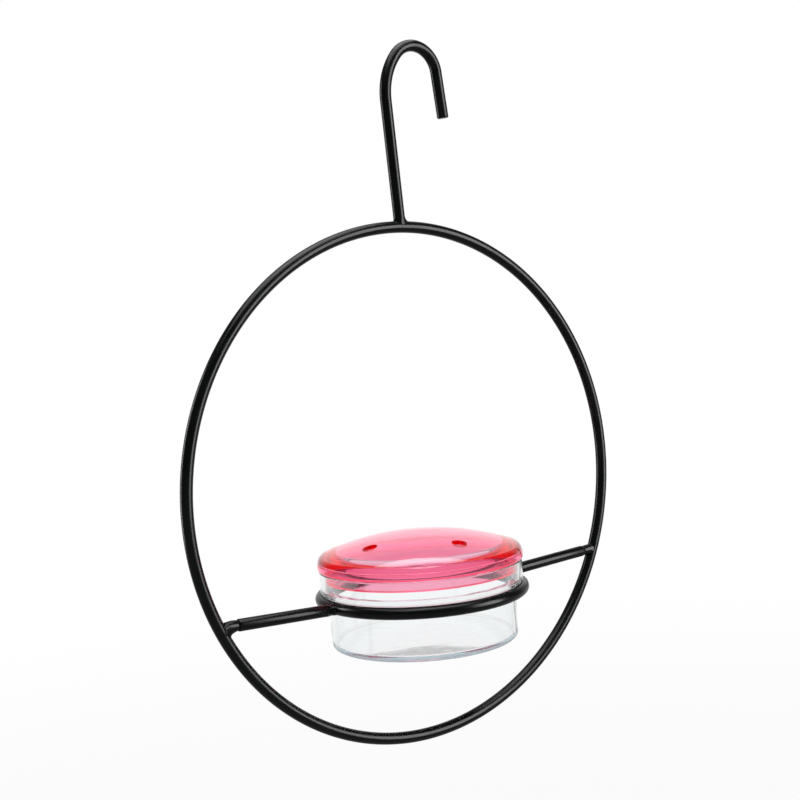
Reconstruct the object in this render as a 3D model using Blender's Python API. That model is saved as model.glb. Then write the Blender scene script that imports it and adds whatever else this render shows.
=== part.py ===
"""Hanging hummingbird feeder: a welded steel rod hoop that carries a clear cup with a red lid.

Metres, +Z up. The hoop lies in the XZ plane and the hook opens towards +X.
The origin is the hang point, on the inside of the hook's crown.
"""
from math import cos, pi, radians, sin, sqrt

import bmesh
import bpy
from mathutils import Matrix, Vector

# Steel rod frame, with bends measured to the middle of the rod
# The hook's lead is the gentle curve between its stem and its tighter bend
ROD_DIAMETER = 0.0055
HOOP_RADIUS = 0.124
HOOK_BEND_RADIUS = 0.0135
HOOK_LEAD_RADIUS = 0.032
HOOK_LEAD_TURN_DEG = 44.5
HOOK_STEM_LENGTH = 0.0577
HOOK_STEM_LEAN_DEG = 3.0
HOOK_TIP_LENGTH = 0.0226
HOOK_TIP_FLARE_DEG = 6.2
RING_DROP = 0.0533
RING_SHIFT = -0.0022
ARM_RISE = 0.0028

# Weld beads
HOOK_WELD_LENGTH = 0.003
HOOP_WELD_LENGTH = 0.005
RING_WELD_LENGTH = 0.0016
WELD_NECK_RADIUS = 0.0021
WELD_SPREAD = 0.0016
WELD_BULGE = 0.0003

# Clear cup
CUP_RADIUS = 0.046
CUP_DRAFT = 0.0005
CUP_LOWER_HEIGHT = 0.0269
CUP_UPPER_HEIGHT = 0.011
CUP_SHOULDER_WIDTH = 0.0036
CUP_WALL = 0.0022
CUP_FLOOR = 0.0025
CUP_BASE_ROUND = 0.002
CUP_EDGE_ROUND = 0.0006

# Red lid
LID_OVERHANG = 0.0007
LID_WALL = 0.0022
LID_RIM_HEIGHT = 0.0065
LID_EDGE_ROUND = 0.0026
LID_UNDER_ROUND = 0.0012
LID_DOME_RISE = 0.0086
LID_SKIRT_DEPTH = 0.0052
PORT_COUNT = 4
PORT_DIAMETER = 0.007
PORT_CIRCLE_RADIUS = 0.03
PORT_TURN_DEG = 3.5

# Fits between pieces
SEAT_GAP = 0.0003
RING_CLEARANCE = 0.0007
SKIRT_CLEARANCE = 0.0004

# Fineness of the round shapes
HOOP_STEPS = 80
RING_STEPS = 60
HOOK_LEAD_STEPS = 7
HOOK_BEND_STEPS = 16
ROD_BEVEL_RESOLUTION = 4
TURNED_STEPS = 64
ROUND_STEPS = 3
DOME_STEPS = 6
PORT_STEPS = 24
WELD_SIDES = 16
WELD_STATIONS = 5

ROD_RADIUS = ROD_DIAMETER / 2

# Hook, from the hang point down the stem to the hoop
LEAN = radians(HOOK_STEM_LEAN_DEG)
FLARE = radians(HOOK_TIP_FLARE_DEG)
LEAD_START = pi + LEAN
LEAD_END = LEAD_START - radians(HOOK_LEAD_TURN_DEG)
LEAD_EXTRA = HOOK_LEAD_RADIUS - HOOK_BEND_RADIUS
BEND_CENTRE = Vector((0, 0, ROD_RADIUS - HOOK_BEND_RADIUS))
LEAD_CENTRE = BEND_CENTRE - LEAD_EXTRA * Vector((cos(LEAD_END), 0, sin(LEAD_END)))
STEM_UP = Vector((-sin(LEAN), 0, cos(LEAN)))
STEM_TOP = LEAD_CENTRE - HOOK_LEAD_RADIUS * Vector((cos(LEAN), 0, sin(LEAN)))
STEM_FOOT = STEM_TOP - HOOK_STEM_LENGTH * STEM_UP
TIP_DOWN = Vector((sin(FLARE), 0, -cos(FLARE)))

# Hoop and holder ring
HOOP_CENTRE = STEM_FOOT - Vector((0, 0, ROD_RADIUS + HOOP_RADIUS))
RING_CENTRE = HOOP_CENTRE + Vector((RING_SHIFT, 0, -RING_DROP))
RING_RADIUS = CUP_RADIUS + RING_CLEARANCE + ROD_RADIUS

# Cup, dropped until its shoulder meets the ring
CUP_UPPER_RADIUS = CUP_RADIUS + CUP_SHOULDER_WIDTH
SHOULDER_REACH = max(RING_RADIUS - (CUP_UPPER_RADIUS - CUP_EDGE_ROUND), 0)
SHOULDER_LEVEL = RING_CENTRE.z + sqrt(ROD_RADIUS ** 2 - SHOULDER_REACH ** 2) + SEAT_GAP
CUP_HEIGHT = CUP_LOWER_HEIGHT + CUP_UPPER_HEIGHT
CUP_PLACE = Vector((RING_CENTRE.x, 0, SHOULDER_LEVEL - CUP_LOWER_HEIGHT))

# Lid, resting on the cup's rim
LID_RADIUS = CUP_UPPER_RADIUS + LID_OVERHANG
SKIRT_RADIUS = CUP_UPPER_RADIUS - CUP_WALL - SKIRT_CLEARANCE
LID_PLACE = Vector((0, 0, CUP_HEIGHT + SEAT_GAP))


def finish(name, red, green, blue, roughness, transmission=0.0):
    """Principled material in linear colour."""
    made = bpy.data.materials.new(name)
    made.use_nodes = True
    shader = made.node_tree.nodes["Principled BSDF"]
    shader.inputs["Base Color"].default_value = (red, green, blue, 1)
    shader.inputs["Roughness"].default_value = roughness
    shader.inputs["Metallic"].default_value = 0.0
    shader.inputs["Transmission Weight"].default_value = transmission
    return made


def place(name, mesh, material, parent, matrix=None):
    """Named object with smooth round faces, set in its parent's frame."""
    mesh.name = name
    mesh.materials.append(material)
    mesh.shade_smooth()
    mesh.set_sharp_from_angle(angle=radians(35))
    piece = bpy.data.objects.new(name, mesh)
    bpy.context.collection.objects.link(piece)
    piece.parent = parent
    piece.matrix_local = matrix or Matrix()
    return piece


def empty(name):
    """Empty at the hang point that carries the pieces."""
    carrier = bpy.data.objects.new(name, None)
    bpy.context.collection.objects.link(carrier)
    return carrier


def cutter(name, mesh, parent, matrix=None):
    """Hidden solid that a Boolean takes away."""
    tool = bpy.data.objects.new(name, mesh)
    bpy.context.collection.objects.link(tool)
    tool.parent = parent
    tool.matrix_local = matrix or Matrix()
    tool.hide_render = True
    tool.display_type = "WIRE"
    return tool


def cut(piece, tool):
    """Boolean difference that stays on the piece."""
    step = piece.modifiers.new(tool.name, "BOOLEAN")
    step.operation = "DIFFERENCE"
    step.solver = "EXACT"
    step.object = tool


def rod_mesh(name, points, closed=False, diameter=ROD_DIAMETER):
    """Round rod bent along the points, with square-cut ends where it is open."""
    path = bpy.data.curves.new(name, "CURVE")
    path.dimensions = "3D"
    path.bevel_depth = diameter / 2
    path.bevel_resolution = ROD_BEVEL_RESOLUTION
    path.use_fill_caps = True
    spline = path.splines.new("POLY")
    spline.points.add(len(points) - 1)
    for slot, point in zip(spline.points, points):
        slot.co = (*point, 1)
    spline.use_cyclic_u = closed
    bent = bpy.data.objects.new(name, path)
    mesh = bpy.data.meshes.new_from_object(bent)
    bpy.data.objects.remove(bent)
    bpy.data.curves.remove(path)
    shape = bmesh.new()
    shape.from_mesh(mesh)
    bmesh.ops.remove_doubles(shape, verts=shape.verts, dist=1e-6)
    bmesh.ops.recalc_face_normals(shape, faces=shape.faces)
    shape.to_mesh(mesh)
    shape.free()
    return mesh


def turned_mesh(name, outline):
    """Outline of (radius, height) points turned once round the Z axis."""
    shape = bmesh.new()
    points = [shape.verts.new((radius, 0, height)) for radius, height in outline]
    edges = [shape.edges.new(pair) for pair in zip(points, points[1:])]
    bmesh.ops.spin(
        shape, geom=points + edges, cent=(0, 0, 0), axis=(0, 0, 1), angle=2 * pi, steps=TURNED_STEPS,
    )
    bmesh.ops.remove_doubles(shape, verts=shape.verts, dist=1e-6)
    bmesh.ops.recalc_face_normals(shape, faces=shape.faces)
    mesh = bpy.data.meshes.new(name)
    shape.to_mesh(mesh)
    shape.free()
    return mesh


def corner(radius, height, size, start_deg, end_deg):
    """Points of a rounded corner about its centre."""
    angles = [radians(start_deg + (end_deg - start_deg) * k / ROUND_STEPS) for k in range(ROUND_STEPS + 1)]
    return [(radius + size * cos(angle), height + size * sin(angle)) for angle in angles]


def circle(centre, radius, steps, across, up):
    """Points round a circle in the plane of two unit vectors."""
    turns = [2 * pi * k / steps for k in range(steps)]
    return [centre + radius * (cos(turn) * across + sin(turn) * up) for turn in turns]


def bead_mesh(name, length, across, along):
    """Weld bead between a rod's end and the rod it meets, lofted through oval stations.

    across and along hold the half widths at the rod's end, between, and at the crossing rod's middle.
    """
    def blend(widths, part):
        first, middle, last = widths
        return (1 - part) ** 2 * first + 2 * part * (1 - part) * middle + part ** 2 * last

    shape = bmesh.new()
    rings = []
    for k in range(WELD_STATIONS):
        part = k / (WELD_STATIONS - 1)
        size = Matrix.Diagonal((blend(along, part), blend(across, part), 1, 1))
        lift = Matrix.Translation((0, 0, SEAT_GAP + (length - SEAT_GAP) * part))
        oval = bmesh.ops.create_circle(shape, segments=WELD_SIDES, radius=1, matrix=lift @ size)["verts"]
        rings.append(list({edge for vert in oval for edge in vert.link_edges}))
    for lower, upper in zip(rings, rings[1:]):
        bmesh.ops.bridge_loops(shape, edges=lower + upper)
    bmesh.ops.holes_fill(shape, edges=rings[0] + rings[-1])
    bmesh.ops.recalc_face_normals(shape, faces=shape.faces)
    mesh = bpy.data.meshes.new(name)
    shape.to_mesh(mesh)
    shape.free()
    return mesh


def bead_matrix(start, end, crossing):
    """Frame at a rod's end: Z runs to the crossing rod and X lies along that rod."""
    ahead = (end - start).normalized()
    along = (crossing - crossing.dot(ahead) * ahead).normalized()
    side = ahead.cross(along)
    turn = Matrix((along, side, ahead)).transposed().to_4x4()
    return Matrix.Translation(start) @ turn


def arc(centre, radius, start, end, steps):
    """Points along a bend in the hoop's plane."""
    angles = [start + (end - start) * k / steps for k in range(steps + 1)]
    return [centre + radius * Vector((cos(angle), 0, sin(angle))) for angle in angles]


def make_hanger_hook(frame, steel):
    """Stem, gentle lead, tighter bend and short open tip, bent from one rod."""
    bend = arc(LEAD_CENTRE, HOOK_LEAD_RADIUS, LEAD_START, LEAD_END, HOOK_LEAD_STEPS)
    bend += arc(BEND_CENTRE, HOOK_BEND_RADIUS, LEAD_END, FLARE, HOOK_BEND_STEPS)[1:]
    foot = STEM_FOOT + HOOK_WELD_LENGTH * STEM_UP
    tip = bend[-1] + HOOK_TIP_LENGTH * TIP_DOWN
    place("hanger_hook", rod_mesh("hanger_hook", [foot] + bend + [tip]), steel, frame)
    return foot


def make_arm(side, name, frame, steel):
    """Straight perch arm that falls a little from the hoop to the holder ring.

    Returns its ends and the middles of the two rods that they are welded to.
    """
    level = ARM_RISE - RING_DROP
    on_hoop = HOOP_CENTRE + Vector((side * sqrt(HOOP_RADIUS ** 2 - level ** 2), 0, level))
    on_ring = RING_CENTRE + Vector((side * RING_RADIUS, 0, 0))
    inward = (on_ring - on_hoop).normalized()
    hoop_radial = (HOOP_CENTRE - on_hoop).normalized()
    outer = on_hoop + (ROD_RADIUS / inward.dot(hoop_radial) + HOOP_WELD_LENGTH) * inward
    inner = on_ring - (ROD_RADIUS + RING_WELD_LENGTH) * inward
    place(name, rod_mesh(name, [outer, inner]), steel, frame)
    return outer, inner, on_hoop, on_ring


def make_bead(name, start, end, crossing, across, along, tool, frame, steel):
    """Weld bead trimmed to the surface of the rod it meets."""
    mesh = bead_mesh(name, (end - start).length, across, along)
    bead = place(name, mesh, steel, frame, bead_matrix(start, end, crossing))
    cut(bead, tool)


def make_frame(frame, steel):
    """Hoop, hook, arms and holder ring, with the beads that join them."""
    across, ahead, up = Vector((1, 0, 0)), Vector((0, 1, 0)), Vector((0, 0, 1))
    hoop_path = circle(HOOP_CENTRE, HOOP_RADIUS, HOOP_STEPS, across, up)
    ring_path = circle(RING_CENTRE, RING_RADIUS, RING_STEPS, across, ahead)
    place("hoop", rod_mesh("hoop", hoop_path, closed=True), steel, frame)
    place("holder_ring", rod_mesh("holder_ring", ring_path, closed=True), steel, frame)

    trim = ROD_DIAMETER + 2 * SEAT_GAP
    hoop_tool = cutter("hoop_trim", rod_mesh("hoop_trim", hoop_path, True, trim), frame)
    ring_tool = cutter("ring_trim", rod_mesh("ring_trim", ring_path, True, trim), frame)

    round_end = (ROD_RADIUS, ROD_RADIUS, ROD_RADIUS)
    spread_end = (ROD_RADIUS, ROD_RADIUS, ROD_RADIUS + WELD_SPREAD)
    necked_end = (WELD_NECK_RADIUS, WELD_NECK_RADIUS, ROD_RADIUS)
    bulged_end = (ROD_RADIUS, ROD_RADIUS + WELD_BULGE, ROD_RADIUS)

    foot = make_hanger_hook(frame, steel)
    crown = HOOP_CENTRE + HOOP_RADIUS * up
    make_bead("hook_weld", foot, crown, across, round_end, spread_end, hoop_tool, frame, steel)

    for side, word in ((-1, "left"), (1, "right")):
        outer, inner, on_hoop, on_ring = make_arm(side, word + "_arm", frame, steel)
        hoop_run = (on_hoop - HOOP_CENTRE).cross(ahead)
        make_bead(
            word + "_hoop_weld", outer, on_hoop, hoop_run, necked_end, necked_end, hoop_tool, frame, steel,
        )
        make_bead(
            word + "_ring_weld", inner, on_ring, ahead, bulged_end, bulged_end, ring_tool, frame, steel,
        )


def make_cup(frame, clear):
    """Stepped clear cup: a narrow lower bowl, a shoulder and a wider band for the lid."""
    base = CUP_RADIUS - CUP_DRAFT
    inside_base = base - CUP_WALL
    inside_top = CUP_RADIUS - CUP_WALL
    ledge = CUP_LOWER_HEIGHT + CUP_WALL
    upper_inside = CUP_UPPER_RADIUS - CUP_WALL
    edge = CUP_EDGE_ROUND
    outline = [(0, 0)]
    outline += corner(base - CUP_BASE_ROUND, CUP_BASE_ROUND, CUP_BASE_ROUND, -90, 0)
    outline += [(CUP_RADIUS, CUP_LOWER_HEIGHT)]
    outline += corner(CUP_UPPER_RADIUS - edge, CUP_LOWER_HEIGHT + edge, edge, -90, 0)
    outline += corner(CUP_UPPER_RADIUS - edge, CUP_HEIGHT - edge, edge, 0, 90)
    outline += corner(upper_inside + edge, CUP_HEIGHT - edge, edge, 90, 180)
    outline += [(upper_inside, ledge)]
    outline += corner(inside_top + edge, ledge - edge, edge, 90, 180)
    outline += corner(inside_base - CUP_BASE_ROUND, CUP_FLOOR + CUP_BASE_ROUND, CUP_BASE_ROUND, 0, -90)
    outline += [(0, CUP_FLOOR)]
    return place("cup", turned_mesh("cup", outline), clear, frame, Matrix.Translation(CUP_PLACE))


def make_lid(cup, red):
    """Domed lid with a round-edged rim, a plug skirt and feeding ports."""
    crease = LID_RADIUS - LID_EDGE_ROUND
    apex = LID_RIM_HEIGHT + LID_DOME_RISE
    ball = (crease ** 2 + LID_DOME_RISE ** 2) / (2 * LID_DOME_RISE)
    skirt_inside = SKIRT_RADIUS - LID_WALL

    def dome(radius):
        return apex - ball + sqrt(ball ** 2 - radius ** 2)

    steps = [k / DOME_STEPS for k in range(DOME_STEPS + 1)]
    outline = [(part * crease, dome(part * crease)) for part in steps[:-1]]
    outline += corner(crease, LID_RIM_HEIGHT - LID_EDGE_ROUND, LID_EDGE_ROUND, 90, 0)
    outline += corner(LID_RADIUS - LID_UNDER_ROUND, LID_UNDER_ROUND, LID_UNDER_ROUND, 0, -90)
    outline += [(SKIRT_RADIUS, 0), (SKIRT_RADIUS, -LID_SKIRT_DEPTH), (skirt_inside, -LID_SKIRT_DEPTH)]
    outline += [(part * skirt_inside, dome(part * skirt_inside) - LID_WALL) for part in reversed(steps)]
    lid = place("lid", turned_mesh("lid", outline), red, cup, Matrix.Translation(LID_PLACE))

    # Drill that reaches from below the skirt to above the crown
    shape = bmesh.new()
    bmesh.ops.create_cone(
        shape, cap_ends=True, segments=PORT_STEPS, radius1=PORT_DIAMETER / 2, radius2=PORT_DIAMETER / 2,
        depth=2 * (apex + LID_SKIRT_DEPTH),
    )
    drill = bpy.data.meshes.new("port_drill")
    shape.to_mesh(drill)
    shape.free()
    for k in range(PORT_COUNT):
        angle = radians(180 + PORT_TURN_DEG) + 2 * pi * k / PORT_COUNT
        spot = PORT_CIRCLE_RADIUS * Vector((cos(angle), sin(angle), 0))
        tool = cutter(f"port_drill_{k + 1}", drill, cup, Matrix.Translation(LID_PLACE + spot))
        cut(lid, tool)


for old in list(bpy.data.objects):
    bpy.data.objects.remove(old)

coated_steel = finish("black_powder_coat", 0.012, 0.013, 0.013, 0.42)
clear_plastic = finish("clear_plastic", 0.86, 0.9, 0.92, 0.06, 1.0)
red_plastic = finish("red_translucent_plastic", 0.9, 0.05, 0.12, 0.08, 0.85)

carrier = empty("feeder")
make_frame(carrier, coated_steel)
make_lid(make_cup(carrier, clear_plastic), red_plastic)
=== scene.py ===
from math import cos, pi, radians, sin, sqrt

import bmesh
import bpy
from mathutils import Matrix, Vector, noise
from mathutils.geometry import delaunay_2d_cdt


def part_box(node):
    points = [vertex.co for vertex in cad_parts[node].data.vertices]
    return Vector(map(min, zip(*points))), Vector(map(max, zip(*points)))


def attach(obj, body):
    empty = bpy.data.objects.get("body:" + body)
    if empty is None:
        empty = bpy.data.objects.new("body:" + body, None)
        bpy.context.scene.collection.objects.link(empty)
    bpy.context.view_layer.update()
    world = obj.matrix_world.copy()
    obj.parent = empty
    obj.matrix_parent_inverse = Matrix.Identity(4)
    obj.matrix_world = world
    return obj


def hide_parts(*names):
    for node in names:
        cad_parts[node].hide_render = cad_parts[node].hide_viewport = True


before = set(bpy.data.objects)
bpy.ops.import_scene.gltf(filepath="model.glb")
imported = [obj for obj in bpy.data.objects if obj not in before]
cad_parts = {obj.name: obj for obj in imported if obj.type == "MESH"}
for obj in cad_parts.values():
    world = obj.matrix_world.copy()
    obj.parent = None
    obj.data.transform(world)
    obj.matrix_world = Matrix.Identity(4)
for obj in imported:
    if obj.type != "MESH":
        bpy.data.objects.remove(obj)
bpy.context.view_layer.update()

# Hoop
# The big upright ring is one length of 5.5 mm mild steel rod, rolled to a circle and butt-welded.
# The frame is powder coated after welding, so rods and welds share one skin of baked black polyester.
ROD_RADIUS = 0.00275
COAT_THICKNESS = 0.0001
ROD_SIDES = 36
ROD_SHARP_EDGE = radians(50)
HOOP_STEPS = 288
ACROSS = Vector((1, 0, 0))
UP = Vector((0, 0, 1))

hoop_low, hoop_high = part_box("hoop")
hoop_centre = (hoop_low + hoop_high) / 2
hoop_radius = (hoop_high.x - hoop_low.x) / 2 - ROD_RADIUS


def linear(colour):
    """Linear RGBA of an sRGB hex colour."""
    parts = [int(colour[k:k + 2], 16) / 255 for k in (1, 3, 5)]
    return [part / 12.92 if part <= 0.04045 else ((part + 0.055) / 1.055) ** 2.4 for part in parts] + [1]


def add(tree, kind, inputs=None, **settings):
    """Adds a node with its settings, and sets or links its inputs by name or number."""
    made = tree.nodes.new(kind)
    for word, value in settings.items():
        setattr(made, word, value)
    for key, value in (inputs or {}).items():
        if isinstance(value, bpy.types.NodeSocket):
            tree.links.new(value, made.inputs[key])
        else:
            made.inputs[key].default_value = value
    return made


def blank_material(name):
    """Material with an empty node tree, and that tree."""
    made = bpy.data.materials.new(name)
    made.use_nodes = True
    made.node_tree.nodes.clear()
    return made, made.node_tree


# Powder coat: a satin near-black skin, whose orange peel breaks up the edges of each highlight.
# The peel's cells are about 1 mm, and here 1.3 mm so that they show.
# Slow clouds, where the powder lies a little thicker or thinner, vary its tone and its roughness.
PEEL_CELL = 0.0013
PEEL_DEPTH = 0.00003
PEEL_STRENGTH = 0.5
CLOUD_SIZE = 0.009
CLOUD_LOW = 0.3
CLOUD_HIGH = 0.7
COAT_DARK = "#060808"
COAT_LIGHT = "#0F1111"
COAT_SMOOTHEST = 0.2
COAT_ROUGHEST = 0.28
COAT_SPECULAR = 0.12
black_powder_coat, coat = blank_material("black_powder_coat")
coat_place = add(coat, "ShaderNodeTexCoord").outputs["Object"]
peel = add(coat, "ShaderNodeTexNoise", {"Vector": coat_place, "Scale": 1 / PEEL_CELL, "Detail": 1.5})
cloud = add(coat, "ShaderNodeTexNoise", {"Vector": coat_place, "Scale": 1 / CLOUD_SIZE, "Detail": 3.0})
# A colour mix takes its factor at input 0 and its colours at 6 and 7, and gives its result at output 2
coat_colour = add(
    coat, "ShaderNodeMix",
    {0: cloud.outputs["Fac"], 6: linear(COAT_DARK), 7: linear(COAT_LIGHT)},
    data_type="RGBA",
)
coat_roughness = add(
    coat, "ShaderNodeMapRange",
    {
        "Value": cloud.outputs["Fac"],
        "From Min": CLOUD_LOW,
        "From Max": CLOUD_HIGH,
        "To Min": COAT_SMOOTHEST,
        "To Max": COAT_ROUGHEST,
    },
)
coat_bump = add(
    coat, "ShaderNodeBump",
    {"Height": peel.outputs["Fac"], "Strength": PEEL_STRENGTH, "Distance": PEEL_DEPTH},
)
coat_shader = add(
    coat, "ShaderNodeBsdfPrincipled",
    {
        "Base Color": coat_colour.outputs[2],
        "Roughness": coat_roughness.outputs["Result"],
        "Normal": coat_bump.outputs["Normal"],
        "Specular IOR Level": COAT_SPECULAR,
    },
)
add(coat, "ShaderNodeOutputMaterial", {"Surface": coat_shader.outputs["BSDF"]})

# Bent rod tree: sweeps a round section along a path, thinner where the path's radius says so
bent_rod = bpy.data.node_groups.new("bent_rod", "GeometryNodeTree")
for word, kind in (("Path", "Geometry"), ("Rod Radius", "Float"), ("Sides", "Int"), ("Finish", "Material")):
    bent_rod.interface.new_socket(word, in_out="INPUT", socket_type="NodeSocket" + kind)
bent_rod.interface.new_socket("Rod", in_out="OUTPUT", socket_type="NodeSocketGeometry")
given = add(bent_rod, "NodeGroupInput").outputs
section = add(
    bent_rod, "GeometryNodeCurvePrimitiveCircle",
    {"Resolution": given["Sides"], "Radius": given["Rod Radius"]},
)
swept = add(
    bent_rod, "GeometryNodeCurveToMesh",
    {
        "Curve": given["Path"],
        "Profile Curve": section.outputs["Curve"],
        "Scale": add(bent_rod, "GeometryNodeInputRadius").outputs["Radius"],
        "Fill Caps": True,
    },
)
smooth = add(bent_rod, "GeometryNodeSetShadeSmooth", {"Geometry": swept.outputs["Mesh"]})
realised = add(bent_rod, "GeometryNodeRealizeInstances", {"Geometry": smooth.outputs["Geometry"]})
finished = add(
    bent_rod, "GeometryNodeSetMaterial",
    {"Geometry": realised.outputs["Geometry"], "Material": given["Finish"]},
)
add(bent_rod, "NodeGroupOutput", {"Rod": finished.outputs["Geometry"]})


def rod(name, points, closed=False):
    """Rod swept along (place, thickness) points, as a plain mesh at the origin."""
    path = bpy.data.curves.new(name + "_path", "CURVE")
    path.dimensions = "3D"
    spline = path.splines.new("POLY")
    spline.points.add(len(points) - 1)
    for spot, (place, thickness) in zip(spline.points, points):
        spot.co = (*place, 1)
        spot.radius = thickness
    spline.use_cyclic_u = closed
    holder = bpy.data.objects.new(name + "_path", path)
    bpy.context.collection.objects.link(holder)
    step = holder.modifiers.new("bent_rod", "NODES")
    step.node_group = bent_rod
    sizes = {"Rod Radius": ROD_RADIUS + COAT_THICKNESS, "Sides": ROD_SIDES, "Finish": black_powder_coat}
    for socket in bent_rod.interface.items_tree:
        if socket.in_out == "INPUT" and socket.name in sizes:
            step[socket.identifier] = sizes[socket.name]
    ready = holder.evaluated_get(bpy.context.evaluated_depsgraph_get())
    mesh = bpy.data.meshes.new_from_object(ready)
    bpy.data.objects.remove(holder)
    bpy.data.curves.remove(path)
    mesh.set_sharp_from_angle(angle=ROD_SHARP_EDGE)
    piece = bpy.data.objects.new(name, mesh)
    bpy.context.collection.objects.link(piece)
    return piece


def ring_path(centre, radius, steps, first, second):
    """Points round a circle, at full thickness."""
    turns = [2 * pi * k / steps for k in range(steps)]
    return [(centre + radius * (cos(turn) * first + sin(turn) * second), 1.0) for turn in turns]


coated_pieces = bpy.data.collections.new("coated_pieces")


def on_frame(piece, node):
    """The piece rides on the rod frame and stands for one of its solids."""
    coated_pieces.objects.link(piece)
    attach(piece, "frame")
    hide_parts(node)


on_frame(
    rod("hoop_rod", ring_path(hoop_centre, hoop_radius, HOOP_STEPS, ACROSS, UP), closed=True),
    "hoop",
)

# Hanger hook
# The same rod, bent cold round a former: a straight stem, a gentle lead, a tighter bend and an open tip.
# Its ends are sheared square, and the coat rounds their edges a little.
STEM_LEAN = radians(3.0)
STEM_GAP = 0.001
LEAD_RADIUS = 0.032
LEAD_TURN = radians(44.5)
BEND_RADIUS = 0.0135
TIP_LENGTH = 0.0226
TIP_FLARE = radians(6.2)
LEAD_STEPS = 24
BEND_STEPS = 40
END_ROUND = 0.0007
END_STEPS = 4

stem_foot = Vector((hoop_centre.x, 0, hoop_high.z))
stem_up = Vector((-sin(STEM_LEAN), 0, cos(STEM_LEAN)))
stem_end = stem_foot + STEM_GAP * stem_up
lead_from = pi + STEM_LEAN
lead_to = lead_from - LEAD_TURN
bend_centre = Vector((0, 0, ROD_RADIUS - BEND_RADIUS))
lead_centre = bend_centre - (LEAD_RADIUS - BEND_RADIUS) * Vector((cos(lead_to), 0, sin(lead_to)))


def arc_path(centre, radius, start, end, steps):
    """Points along a bend in the hoop's plane, at full thickness."""
    turns = [start + (end - start) * k / steps for k in range(steps + 1)]
    return [(centre + radius * Vector((cos(turn), 0, sin(turn))), 1.0) for turn in turns]


def rounded_end(end, inward, size=END_ROUND):
    """Path points that round the edge of a square-cut end, from its face inwards."""
    turns = [pi / 2 * k / END_STEPS for k in range(END_STEPS + 1)]
    return [
        (end + size * (1 - cos(turn)) * inward, 1 - size * (1 - sin(turn)) / ROD_RADIUS) for turn in turns
    ]


bend = arc_path(lead_centre, LEAD_RADIUS, lead_from, lead_to, LEAD_STEPS)
bend += arc_path(bend_centre, BEND_RADIUS, lead_to, TIP_FLARE, BEND_STEPS)[1:]
tip_up = Vector((-sin(TIP_FLARE), 0, cos(TIP_FLARE)))
tip = bend[-1][0] - TIP_LENGTH * tip_up
hook_path = [(stem_end, 1.0)] + bend + rounded_end(tip, tip_up)[::-1]
on_frame(rod("hanger_hook_rod", hook_path), "hanger_hook")

# Hook weld
# A fillet of weld metal where the stem's foot meets the top of the hoop.
# It was laid from one side, so it runs out further along the hoop there.
HOOK_FILLET = 0.0016
HOOK_RUN = 0.0022
HOOK_OVERLAP = 0.0035
HOOK_LUMPS = 0.05
HOOK_BEAD_START = 0.98 * ROD_RADIUS
HOOK_BEAD_FLANK = 0.9 * ROD_RADIUS
BEAD_SIDES = 40
BEAD_STATIONS = 14
BEAD_SINK = 0.0004
LUMP_SIZE = 0.002


def weld_bead(name, start, end, crossing, along, across, overlap, lumps, lean=0.0, droop=0.0):
    """Bead lofted from a rod's end to the surface of the rod it meets.

    along and across hold the half widths at the rod, between and at the crossing rod.
    The bead starts the overlap back along its own rod, and its lumps grow towards the crossing rod.
    There lean draws out its one side along that rod, and droop shifts the whole bead that way.
    """
    ahead = (end - start).normalized()
    length = (end - start).length
    first = (crossing - crossing.dot(ahead) * ahead).normalized()
    second = ahead.cross(first)
    slope = crossing.dot(ahead) / crossing.dot(first)

    def blend(values, part):
        return (1 - part) ** 2 * values[0] + 2 * part * (1 - part) * values[1] + part ** 2 * values[2]

    def depth(width):
        return length - sqrt(max(ROD_RADIUS ** 2 - width ** 2, 0)) + BEAD_SINK

    shape = bmesh.new()
    rings = []
    for k in range(BEAD_STATIONS):
        part = k / (BEAD_STATIONS - 1)
        ring = []
        for j in range(BEAD_SIDES):
            turn = 2 * pi * j / BEAD_SIDES
            reach = blend(along, part) * cos(turn) + (lean * max(cos(turn), 0) + droop) * part ** 2
            side = blend(across, part) * sin(turn)
            levels = [-overlap, depth(across[1] * sin(turn)), depth(across[2] * sin(turn))]
            place = start + blend(levels, part) * ahead
            spot = place + reach * (first + part * slope * ahead) + side * second
            lump = 1 + lumps * part * noise.noise(spot / LUMP_SIZE)
            ring.append(shape.verts.new(place + lump * (spot - place)))
        rings.append(ring)
    for lower, upper in zip(rings, rings[1:]):
        for j in range(BEAD_SIDES):
            shape.faces.new((lower[j - 1], lower[j], upper[j], upper[j - 1]))
    shape.faces.new(rings[0])
    shape.faces.new(rings[-1])
    bmesh.ops.recalc_face_normals(shape, faces=shape.faces)
    mesh = bpy.data.meshes.new(name)
    shape.to_mesh(mesh)
    shape.free()
    mesh.materials.append(black_powder_coat)
    mesh.shade_smooth()
    piece = bpy.data.objects.new(name, mesh)
    bpy.context.collection.objects.link(piece)
    return piece


hook_bead = weld_bead(
    "hook_weld_bead", stem_end, hoop_centre + hoop_radius * UP, ACROSS,
    along=(HOOK_BEAD_START, ROD_RADIUS, ROD_RADIUS + HOOK_FILLET),
    across=(HOOK_BEAD_START, HOOK_BEAD_START, HOOK_BEAD_FLANK),
    overlap=HOOK_OVERLAP, lumps=HOOK_LUMPS, lean=HOOK_RUN,
)
on_frame(hook_bead, "hook_weld")

# Holder ring
# The same rod rolled to a small level ring, which the cup drops into as far as its shoulder.
# It is held by the two perch arms alone, which are welded to its outer side.
RING_STEPS = 192
AWAY = Vector((0, 1, 0))
ring_low, ring_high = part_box("holder_ring")
ring_centre = (ring_low + ring_high) / 2
ring_radius = (ring_high.x - ring_low.x) / 2 - ROD_RADIUS
on_frame(
    rod("holder_ring_rod", ring_path(ring_centre, ring_radius, RING_STEPS, ACROSS, AWAY), closed=True),
    "holder_ring",
)

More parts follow.
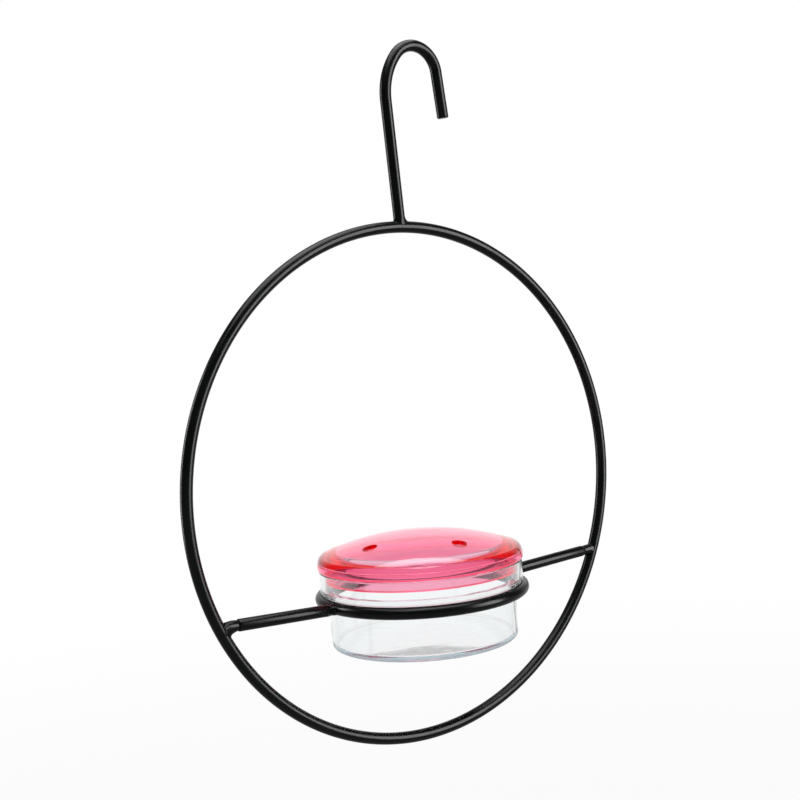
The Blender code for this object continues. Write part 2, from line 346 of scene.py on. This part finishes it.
# Perch arms
# Two straight lengths of the rod between the hoop and the holder ring, where the birds sit.
# Each is welded at both ends: a short neck at the hoop and a small knot at the ring.
ARM_RISE = 0.0028
ARM_END_ROUND = 0.001
NECK = 0.0024
NECK_FLANK = 0.92 * ROD_RADIUS
NECK_LEAN = 1.6
RING_WELD = 0.0016
KNOT_LUMPS = 0.12
ARM_OVERLAP = 0.0006
# The knots' half widths along and across the ring, in rod radii
KNOT_ALONG = (0.9, 1.15, 1.3)
KNOT_ACROSS = (0.9, 1.1, 0.95)

level = ring_centre.z + ARM_RISE - hoop_centre.z
# Each neck was laid by hand, so it has its own length, half width, lumps and droop
for side, word, gap, bulge, lumps, droop in (
    (-1, "left", 0.006, 0.0033, 0.34, 0.0024), (1, "right", 0.0045, 0.0028, 0.28, 0.0),
):
    on_hoop = hoop_centre + Vector((side * sqrt(hoop_radius ** 2 - level ** 2), 0, level))
    on_ring = ring_centre + side * ring_radius * ACROSS
    inward = (on_ring - on_hoop).normalized()
    hoop_in = (hoop_centre - on_hoop).normalized()
    outer = on_hoop + (ROD_RADIUS / inward.dot(hoop_in) + gap) * inward
    inner = on_ring - (ROD_RADIUS + RING_WELD) * inward
    arm_path = rounded_end(outer, inward, ARM_END_ROUND) + rounded_end(inner, -inward)[::-1]
    on_frame(rod(word + "_arm_rod", arm_path), word + "_arm")
    neck_bead = weld_bead(
        word + "_hoop_weld_neck", outer, on_hoop, (on_hoop - hoop_centre).cross(AWAY),
        along=(NECK, bulge, ROD_RADIUS), across=(NECK, bulge, NECK_FLANK),
        overlap=ARM_OVERLAP, lumps=lumps, lean=NECK_LEAN * droop, droop=droop,
    )
    on_frame(neck_bead, word + "_hoop_weld")
    knot_bead = weld_bead(
        word + "_ring_weld_knot", inner, on_ring, AWAY,
        along=[share * ROD_RADIUS for share in KNOT_ALONG],
        across=[share * ROD_RADIUS for share in KNOT_ACROSS],
        overlap=ARM_OVERLAP, lumps=KNOT_LUMPS,
    )
    on_frame(knot_bead, word + "_ring_weld")

# Cup
# A clear stepped cup, injection moulded in one piece from polystyrene in a polished mould.
# Its shoulder rests on the holder ring, so it lifts straight out, and nothing else holds it.
CUP_RADIUS = 0.046
CUP_DRAFT = 0.0005
CUP_LOWER_HEIGHT = 0.0269
CUP_WALL = 0.0022
CUP_FLOOR = 0.0025
CUP_BASE_ROUND = 0.002
CUP_INNER_ROUND = 0.0008
CUP_EDGE_ROUND = 0.0006
CUP_RIM_ROUND = 0.0006
TURNED_STEPS = 192
ROUND_STEPS = 9
RUN_END = 0.0001
LONG_RUN = 10 * RUN_END
MERGE_DISTANCE = 1e-6
PLASTIC_SHARP_EDGE = radians(35)

cup_low, cup_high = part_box("cup")
cup_place = Vector((ring_centre.x, 0, cup_low.z))
cup_height = cup_high.z - cup_low.z
cup_upper_radius = (cup_high.x - cup_low.x) / 2


def corner(radius, height, size, start_deg, end_deg, stretch=1.0):
    """Points of a rounded corner about its centre, taller than wide where it is stretched."""
    turns = [radians(start_deg + (end_deg - start_deg) * k / ROUND_STEPS) for k in range(ROUND_STEPS + 1)]
    return [(radius + size * cos(turn), height + stretch * size * sin(turn)) for turn in turns]


def plastic_piece(name, shape, place, material):
    """Closed mesh object from a bmesh, moved to its place and shaded smooth."""
    bmesh.ops.remove_doubles(shape, verts=shape.verts, dist=MERGE_DISTANCE)
    bmesh.ops.recalc_face_normals(shape, faces=shape.faces)
    bmesh.ops.translate(shape, verts=shape.verts, vec=place)
    mesh = bpy.data.meshes.new(name)
    shape.to_mesh(mesh)
    shape.free()
    mesh.materials.append(material)
    mesh.shade_smooth()
    mesh.set_sharp_from_angle(angle=PLASTIC_SHARP_EDGE)
    piece = bpy.data.objects.new(name, mesh)
    bpy.context.collection.objects.link(piece)
    return piece


# Clear polystyrene: almost colourless, faintly blue-grey where the eye looks along a wall.
# The mould's polish leaves a slow waviness, which bends what shows through.
WAVE_SIZE = 0.014
WAVE_DEPTH = 0.00012
POLYSTYRENE_IOR = 1.55
CLEAR_TINT = "#C2D8DE"
CLEAR_TINT_DENSITY = 18.0
clear_polystyrene, clear = blank_material("clear_polystyrene")
clear_place = add(clear, "ShaderNodeTexCoord").outputs["Object"]
wave = add(clear, "ShaderNodeTexNoise", {"Vector": clear_place, "Scale": 1 / WAVE_SIZE, "Detail": 1.0})
clear_bump = add(
    clear, "ShaderNodeBump", {"Height": wave.outputs["Fac"], "Strength": 0.5, "Distance": WAVE_DEPTH},
)
clear_shader = add(
    clear, "ShaderNodeBsdfPrincipled",
    {
        "Base Color": linear("#FDFEFE"),
        "Roughness": 0.02,
        "IOR": POLYSTYRENE_IOR,
        "Transmission Weight": 1.0,
        "Normal": clear_bump.outputs["Normal"],
    },
)
clear_depth = add(
    clear, "ShaderNodeVolumeAbsorption", {"Color": linear(CLEAR_TINT), "Density": CLEAR_TINT_DENSITY},
)
add(
    clear, "ShaderNodeOutputMaterial",
    {"Surface": clear_shader.outputs["BSDF"], "Volume": clear_depth.outputs["Volume"]},
)

base = CUP_RADIUS - CUP_DRAFT
ledge = CUP_LOWER_HEIGHT + CUP_WALL
band_inside = cup_upper_radius - CUP_WALL
floor_edge = base - CUP_WALL - CUP_INNER_ROUND
edge = CUP_EDGE_ROUND
rim_middle = cup_height - CUP_RIM_ROUND
cup_outline = [(0, 0)]
cup_outline += corner(base - CUP_BASE_ROUND, CUP_BASE_ROUND, CUP_BASE_ROUND, -90, 0)
cup_outline += [(CUP_RADIUS, CUP_LOWER_HEIGHT)]
cup_outline += corner(cup_upper_radius - edge, CUP_LOWER_HEIGHT + edge, edge, -90, 0)
cup_outline += corner(cup_upper_radius - CUP_RIM_ROUND, rim_middle, CUP_RIM_ROUND, 0, 90)
cup_outline += corner(band_inside + CUP_RIM_ROUND, rim_middle, CUP_RIM_ROUND, 90, 180)
cup_outline += [(band_inside, ledge)]
cup_outline += corner(CUP_RADIUS - CUP_WALL + edge, ledge - edge, edge, 90, 180)
cup_outline += corner(floor_edge, CUP_FLOOR + CUP_INNER_ROUND, CUP_INNER_ROUND, 0, -90)
cup_outline += [(0, CUP_FLOOR)]


def straightened(outline):
    """Outline with extra points close to the ends of its long straight runs.

    They keep the rounded corners from bending the smooth shading of the flat faces beside them.
    """
    spots = [Vector(spot) for spot in outline]
    result = [spots[0]]
    for near, far in zip(spots, spots[1:]):
        if (far - near).length > LONG_RUN:
            ahead = RUN_END * (far - near).normalized()
            result += [near + ahead, far - ahead]
        result.append(far)
    return result


def turn_outline(shape, outline):
    """Turns an outline of (radius, height) points once round the Z axis."""
    points = [shape.verts.new((radius, 0, height)) for radius, height in straightened(outline)]
    edges = [shape.edges.new(pair) for pair in zip(points, points[1:])]
    bmesh.ops.spin(
        shape, geom=points + edges, cent=(0, 0, 0), axis=UP, angle=2 * pi, steps=TURNED_STEPS,
    )


cup_shape = bmesh.new()
turn_outline(cup_shape, cup_outline)
cup = plastic_piece("clear_cup", cup_shape, cup_place, clear_polystyrene)
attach(cup, "cup")
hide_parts("cup")

# Lid
# A domed lid, injection moulded from red polystyrene that light goes through, with four feeding ports.
# Its rim is cored out from below, between the outer lip and the plug skirt.
# The skirt pushes into the cup by hand, and the lip rests on the cup's rim.
LID_WALL = 0.002
LID_RIM_HEIGHT = 0.0065
LID_EDGE_ROUND = 0.00285
LID_UNDER_ROUND = 0.0006
LID_RIM_WAIST = 0.0015
LID_LIP = 0.0028
RIM_CORE_HEIGHT = 0.003
SKIRT_WALL = 0.0042
LID_SKIRT_DEPTH = 0.0052
SKIRT_CLEARANCE = 0.0004
SKIRT_ROUND = 0.0004
INNER_FILLET = 0.0024
PORT_COUNT = 4
PORT_RADIUS = 0.0035
PORT_CIRCLE = 0.03
PORT_TURN = radians(183.5)
PORT_SIDES = 56
PORT_BEVEL = 0.0002
PORT_RING_GROWTH = (0, 1, 4, 9)
DOME_CELL = 0.0016
PORT_MARGIN = 0.5 * DOME_CELL
PORT_SPACING = 0.4 * DOME_CELL
LEAST_SIDES = 6
EDGE_RINGS = 16
PLAN_TOLERANCE = 1e-7

lid_low, lid_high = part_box("lid")
lid_place = Vector((ring_centre.x, 0, lid_low.z + LID_SKIRT_DEPTH))
lid_radius = (lid_high.x - lid_low.x) / 2
apex = lid_high.z - lid_place.z
crease = lid_radius - LID_EDGE_ROUND
rise = apex - LID_RIM_HEIGHT
ball = (crease ** 2 + rise ** 2) / (2 * rise)
skirt = band_inside - SKIRT_CLEARANCE
skirt_inside = skirt - SKIRT_WALL

# Red polystyrene: white shows pink through the dome's thin wall, and deep red along a wall.
# It has the slow waviness of the cup, from the same polish of the mould.
RED_DYE = "#FE27A6"
RED_DYE_DENSITY = 250.0
red_polystyrene, red = blank_material("red_polystyrene")
red_place = add(red, "ShaderNodeTexCoord").outputs["Object"]
red_wave = add(red, "ShaderNodeTexNoise", {"Vector": red_place, "Scale": 1 / WAVE_SIZE, "Detail": 1.0})
red_bump = add(
    red, "ShaderNodeBump", {"Height": red_wave.outputs["Fac"], "Strength": 0.4, "Distance": WAVE_DEPTH},
)
red_shader = add(
    red, "ShaderNodeBsdfPrincipled",
    {
        "Base Color": linear("#FFFFFF"),
        "Roughness": 0.04,
        "IOR": POLYSTYRENE_IOR,
        "Transmission Weight": 1.0,
        "Normal": red_bump.outputs["Normal"],
    },
)
red_depth = add(
    red, "ShaderNodeVolumeAbsorption", {"Color": linear(RED_DYE), "Density": RED_DYE_DENSITY},
)
add(
    red, "ShaderNodeOutputMaterial",
    {"Surface": red_shader.outputs["BSDF"], "Volume": red_depth.outputs["Volume"]},
)

# Flat plan of the dome: rings round the middle, and finer rings round each port
port_turns = [PORT_TURN + 2 * pi * k / PORT_COUNT for k in range(PORT_COUNT)]
ports = [PORT_CIRCLE * Vector((cos(turn), sin(turn))) for turn in port_turns]
port_rings = [PORT_RADIUS + PORT_BEVEL * growth for growth in PORT_RING_GROWTH]
port_reach = PORT_CIRCLE + port_rings[-1] + PORT_MARGIN


def plan_circle(centre, radius, count):
    """Points round a circle in the flat plan."""
    turns = [2 * pi * k / count for k in range(count)]
    return [centre + radius * Vector((cos(turn), sin(turn))) for turn in turns]


def clear_of_ports(spot):
    """Whether a point of the plan lies outside every port's rings."""
    return all((spot - port).length > port_rings[-1] + PORT_SPACING for port in ports)


middle = Vector((0, 0))
plan = plan_circle(middle, crease, TURNED_STEPS)
for k in range(EDGE_RINGS + 1):
    radius = crease - RUN_END - (crease - RUN_END - port_reach) * k / EDGE_RINGS
    plan += plan_circle(middle, radius, TURNED_STEPS)
ring_count = int(port_reach / DOME_CELL)
for k in range(ring_count - 1, 0, -1):
    radius = port_reach * k / ring_count
    count = max(LEAST_SIDES, min(TURNED_STEPS, round(2 * pi * radius / DOME_CELL)))
    plan += [spot for spot in plan_circle(middle, radius, count) if clear_of_ports(spot)]
plan += [middle]
holes = []
for port in ports:
    holes.append(len(plan))
    for radius in port_rings:
        plan += plan_circle(port, radius, PORT_SIDES)
fixed = [(k, (k + 1) % TURNED_STEPS) for k in range(TURNED_STEPS)]
for hole in holes:
    fixed += [(hole + k, hole + (k + 1) % PORT_SIDES) for k in range(PORT_SIDES)]
plan_spots, _, plan_faces, plan_from, _, _ = delaunay_2d_cdt(plan, fixed, [], 0, PLAN_TOLERANCE)


def off_ports(face):
    """Whether the middle of a face of the plan lies outside every port."""
    face_middle = sum((plan_spots[k] for k in face), middle) / 3
    return all((face_middle - port).length > PORT_RADIUS for port in ports)


plan_faces = [face for face in plan_faces if off_ports(face)]
plan_names = {source[0]: k for k, source in enumerate(plan_from) if source}


def dome(radius):
    """Height of the dome's outer face."""
    return apex - ball + sqrt(ball ** 2 - radius ** 2)


def port_gap(spot):
    """Distance of a point of the plan from the nearest port's edge."""
    return min((spot - port).length for port in ports) - PORT_RADIUS


def outside(spot):
    """Point of the outer face, bevelled round the ports."""
    return (*spot, dome(spot.length) - max(PORT_BEVEL - port_gap(spot), 0))


def underside(spot):
    """Point of the inner face, which is rounded down into the skirt."""
    radius = spot.length
    drop = LID_WALL
    if radius > port_reach:
        part = (radius - port_reach) / (crease - port_reach)
        turn = pi / 2 * max(2 * part - 1, 0)
        drawn_in = port_reach + (skirt_inside - INNER_FILLET - port_reach) * min(2 * part, 1)
        drawn_in += INNER_FILLET * sin(turn)
        drop += INNER_FILLET * (1 - cos(turn))
        spot = spot * (drawn_in / radius)
    return (*spot, dome(spot.length) - drop)


lid_shape = bmesh.new()
top = [lid_shape.verts.new(outside(spot)) for spot in plan_spots]
under = [lid_shape.verts.new(underside(spot)) for spot in plan_spots]
for face in plan_faces:
    lid_shape.faces.new([top[k] for k in face])
    lid_shape.faces.new([under[k] for k in reversed(face)])
for hole in holes:
    for k in range(PORT_SIDES):
        here = plan_names[hole + k]
        beside = plan_names[hole + (k + 1) % PORT_SIDES]
        lid_shape.faces.new((top[here], top[beside], under[beside], under[here]))
rim_above = (LID_RIM_HEIGHT - LID_RIM_WAIST) / LID_EDGE_ROUND
rim_below = LID_RIM_WAIST / LID_UNDER_ROUND
lip_inside = lid_radius - LID_LIP
core_corner = RIM_CORE_HEIGHT - SKIRT_ROUND
skirt_corner = SKIRT_ROUND - LID_SKIRT_DEPTH
lid_outline = corner(crease, LID_RIM_WAIST, LID_EDGE_ROUND, 90, 0, rim_above)
lid_outline += corner(lid_radius - LID_UNDER_ROUND, LID_RIM_WAIST, LID_UNDER_ROUND, 0, -90, rim_below)
lid_outline += [(lip_inside, 0)]
lid_outline += corner(lip_inside - SKIRT_ROUND, core_corner, SKIRT_ROUND, 0, 90)
lid_outline += corner(skirt + SKIRT_ROUND, core_corner, SKIRT_ROUND, 90, 180)
lid_outline += corner(skirt - SKIRT_ROUND, skirt_corner, SKIRT_ROUND, 0, -90)
lid_outline += corner(skirt_inside + SKIRT_ROUND, skirt_corner, SKIRT_ROUND, -90, -180)
lid_outline += [(skirt_inside, dome(skirt_inside) - LID_WALL - INNER_FILLET)]
turn_outline(lid_shape, lid_outline)
lid = plastic_piece("red_lid", lid_shape, lid_place, red_polystyrene)
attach(lid, "lid")
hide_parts("lid")

# Studio
# A pale floor well below the hanging feeder, a white surround, and six soft lamps.
# Three of the lamps light only the coated rods and one only the lid, as a studio shades lamps with cards.
# What gloss mirrors is white behind the feeder, and dimmer towards the room where the camera stands.
FLOOR_LEVEL = -0.60
FLOOR_HALF = 6.0
FLOOR_GLOW = 0.92
FLOOR_EVEN_FROM = 0.7
FLOOR_EVEN_TO = 1.8
AMBIENT = 0.55
ROOM_SIDE = (-0.58, -0.81, 0.0)
ROOM_GLOW = 0.12
ROOM_FADE_FROM = -0.95
ROOM_FADE_TO = -0.6

floor_mesh = bpy.data.meshes.new("studio_floor")
floor_mesh.from_pydata(
    [(x * FLOOR_HALF, y * FLOOR_HALF, FLOOR_LEVEL) for x, y in ((-1, -1), (1, -1), (1, 1), (-1, 1))],
    [], [(0, 1, 2, 3)],
)
floor = bpy.data.objects.new("studio_floor", floor_mesh)
bpy.context.collection.objects.link(floor)


def seen(tree, place):
    """Socket for how white a place looks.

    It is white to the camera and through glass, and in gloss it fades from behind towards the room.
    """
    light_path = add(tree, "ShaderNodeLightPath").outputs
    to_room = add(
        tree, "ShaderNodeVectorMath", {0: place, 1: ROOM_SIDE}, operation="DOT_PRODUCT",
    ).outputs["Value"]
    mirrored = add(
        tree, "ShaderNodeMapRange",
        {
            "Value": to_room,
            "From Min": ROOM_FADE_FROM,
            "From Max": ROOM_FADE_TO,
            "To Min": 1.0,
            "To Max": ROOM_GLOW,
        },
    ).outputs["Result"]
    part = add(
        tree, "ShaderNodeMath", {0: light_path["Is Glossy Ray"], 1: mirrored}, operation="MULTIPLY",
    ).outputs[0]
    for word in ("Is Camera Ray", "Is Transmission Ray"):
        whiter = add(tree, "ShaderNodeMath", {0: part, 1: light_path[word]}, operation="MAXIMUM")
        part = whiter.outputs[0]
    return part


# White paper: pale and matt under the feeder, where it takes the shadow, and even white further off
white_paper, paper = blank_material("white_paper")
paper_place = add(paper, "ShaderNodeTexCoord").outputs["Object"]
paper_distance = add(paper, "ShaderNodeVectorMath", {0: paper_place}, operation="LENGTH")
paper_even = add(
    paper, "ShaderNodeMapRange",
    {
        "Value": paper_distance.outputs["Value"],
        "From Min": FLOOR_EVEN_FROM,
        "From Max": FLOOR_EVEN_TO,
        "To Min": FLOOR_GLOW,
        "To Max": 1.0,
    },
    interpolation_type="SMOOTHSTEP",
)
paper_way = add(paper, "ShaderNodeVectorMath", {0: paper_place, 1: hoop_centre}, operation="SUBTRACT")
paper_way = add(paper, "ShaderNodeVectorMath", {0: paper_way.outputs["Vector"]}, operation="NORMALIZE")
paper_glow = add(
    paper, "ShaderNodeMath",
    {0: seen(paper, paper_way.outputs["Vector"]), 1: paper_even.outputs["Result"]}, operation="MULTIPLY",
).outputs[0]
paper_matt = add(paper, "ShaderNodeBsdfDiffuse", {"Color": linear("#DADADA")})
paper_white = add(paper, "ShaderNodeEmission", {"Color": linear("#FFFFFF"), "Strength": 1.0})
paper_mix = add(
    paper, "ShaderNodeMixShader",
    {0: paper_glow, 1: paper_matt.outputs["BSDF"], 2: paper_white.outputs["Emission"]},
)
add(paper, "ShaderNodeOutputMaterial", {"Surface": paper_mix.outputs["Shader"]})
floor_mesh.materials.append(white_paper)

surround = bpy.data.worlds.new("white_surround")
surround.use_nodes = True
surround.node_tree.nodes.clear()
sky = surround.node_tree
sky_place = add(sky, "ShaderNodeTexCoord").outputs["Generated"]
sky_ambient = add(
    sky, "ShaderNodeMath", {0: add(sky, "ShaderNodeLightPath").outputs["Is Diffuse Ray"], 1: AMBIENT},
    operation="MULTIPLY",
).outputs[0]
sky_strength = add(
    sky, "ShaderNodeMath", {0: seen(sky, sky_place), 1: sky_ambient}, operation="MAXIMUM",
).outputs[0]
sky_glow = add(
    sky, "ShaderNodeBackground", {"Color": linear("#FFFFFF"), "Strength": sky_strength},
)
add(sky, "ShaderNodeOutputWorld", {"Surface": sky_glow.outputs["Background"]})
bpy.context.scene.world = surround


def lamp(name, place, width, height, watts, lights_only=None, hidden_from=""):
    """Soft rectangular lamp that faces the feeder, of a width and height in metres.

    It may light only a collection of pieces, and may be hidden from their matt or their gloss.
    """
    light = bpy.data.lights.new(name, "AREA")
    light.shape = "RECTANGLE"
    light.size = width
    light.size_y = height
    light.energy = watts
    holder = bpy.data.objects.new(name, light)
    bpy.context.collection.objects.link(holder)
    aim = hoop_centre - Vector(place)
    holder.matrix_world = Matrix.Translation(place) @ aim.to_track_quat("-Z", "Y").to_matrix().to_4x4()
    holder.visible_camera = False
    holder.light_linking.receiver_collection = lights_only
    holder.visible_diffuse = hidden_from != "matt"
    holder.visible_glossy = hidden_from != "gloss"


dyed_pieces = bpy.data.collections.new("dyed_pieces")
dyed_pieces.objects.link(lid)
# Each lamp has its place, width, height and watts, then what it lights and what it is hidden from
lamp("right_soft_box", (0.9, -1.19, 0.05), 0.8, 1.1, 45.0, coated_pieces, "matt")
lamp("left_strip", (-0.90, 0.87, 0.0), 0.25, 1.1, 13.0, coated_pieces, "matt")
lamp("overhead_soft_box", (-0.05, -0.1, 1.15), 1.5, 1.5, 42.0, coated_pieces, "matt")
lamp("top_soft_box", (-0.05, -0.12, 1.1), 0.5, 0.5, 4.0)
lamp("back_strip", (0.5, 0.71, 0.76), 0.9, 0.1, 0.6)
lamp("back_soft_box", (0.70, 0.97, -0.15), 2.4, 1.6, 5.4, dyed_pieces, "gloss")

# Camera
# It stands a little above the cup and to the left of the hoop's front, and looks slightly down.
# The feeder hangs with a slight tilt, which the camera's roll gives.
CAMERA_PLACE = (-0.37514, -0.49671, -0.13634)
CAMERA_TURN_DEG = -35.384
CAMERA_DIP_DEG = 3.007
CAMERA_ROLL_DEG = -4.094
CAMERA_LENS_MM = 56.80
CAMERA_SENSOR_MM = 36.0

camera_data = bpy.data.cameras.new("photo_camera")
camera_data.sensor_width = CAMERA_SENSOR_MM
camera_data.lens = CAMERA_LENS_MM
camera = bpy.data.objects.new("photo_camera", camera_data)
bpy.context.collection.objects.link(camera)
camera.matrix_world = (
    Matrix.Translation(CAMERA_PLACE)
    @ Matrix.Rotation(radians(CAMERA_TURN_DEG), 4, "Z")
    @ Matrix.Rotation(radians(90 - CAMERA_DIP_DEG), 4, "X")
    @ Matrix.Rotation(radians(CAMERA_ROLL_DEG), 4, "Z")
)
bpy.context.scene.camera = camera
bpy.context.scene.view_settings.view_transform = "Standard"

# Light crosses the cup and the lid many times before it gets out
GLASS_BOUNCES = 48
bpy.context.scene.cycles.max_bounces = GLASS_BOUNCES
bpy.context.scene.cycles.transmission_bounces = GLASS_BOUNCES
bpy.context.scene.cycles.glossy_bounces = GLASS_BOUNCES
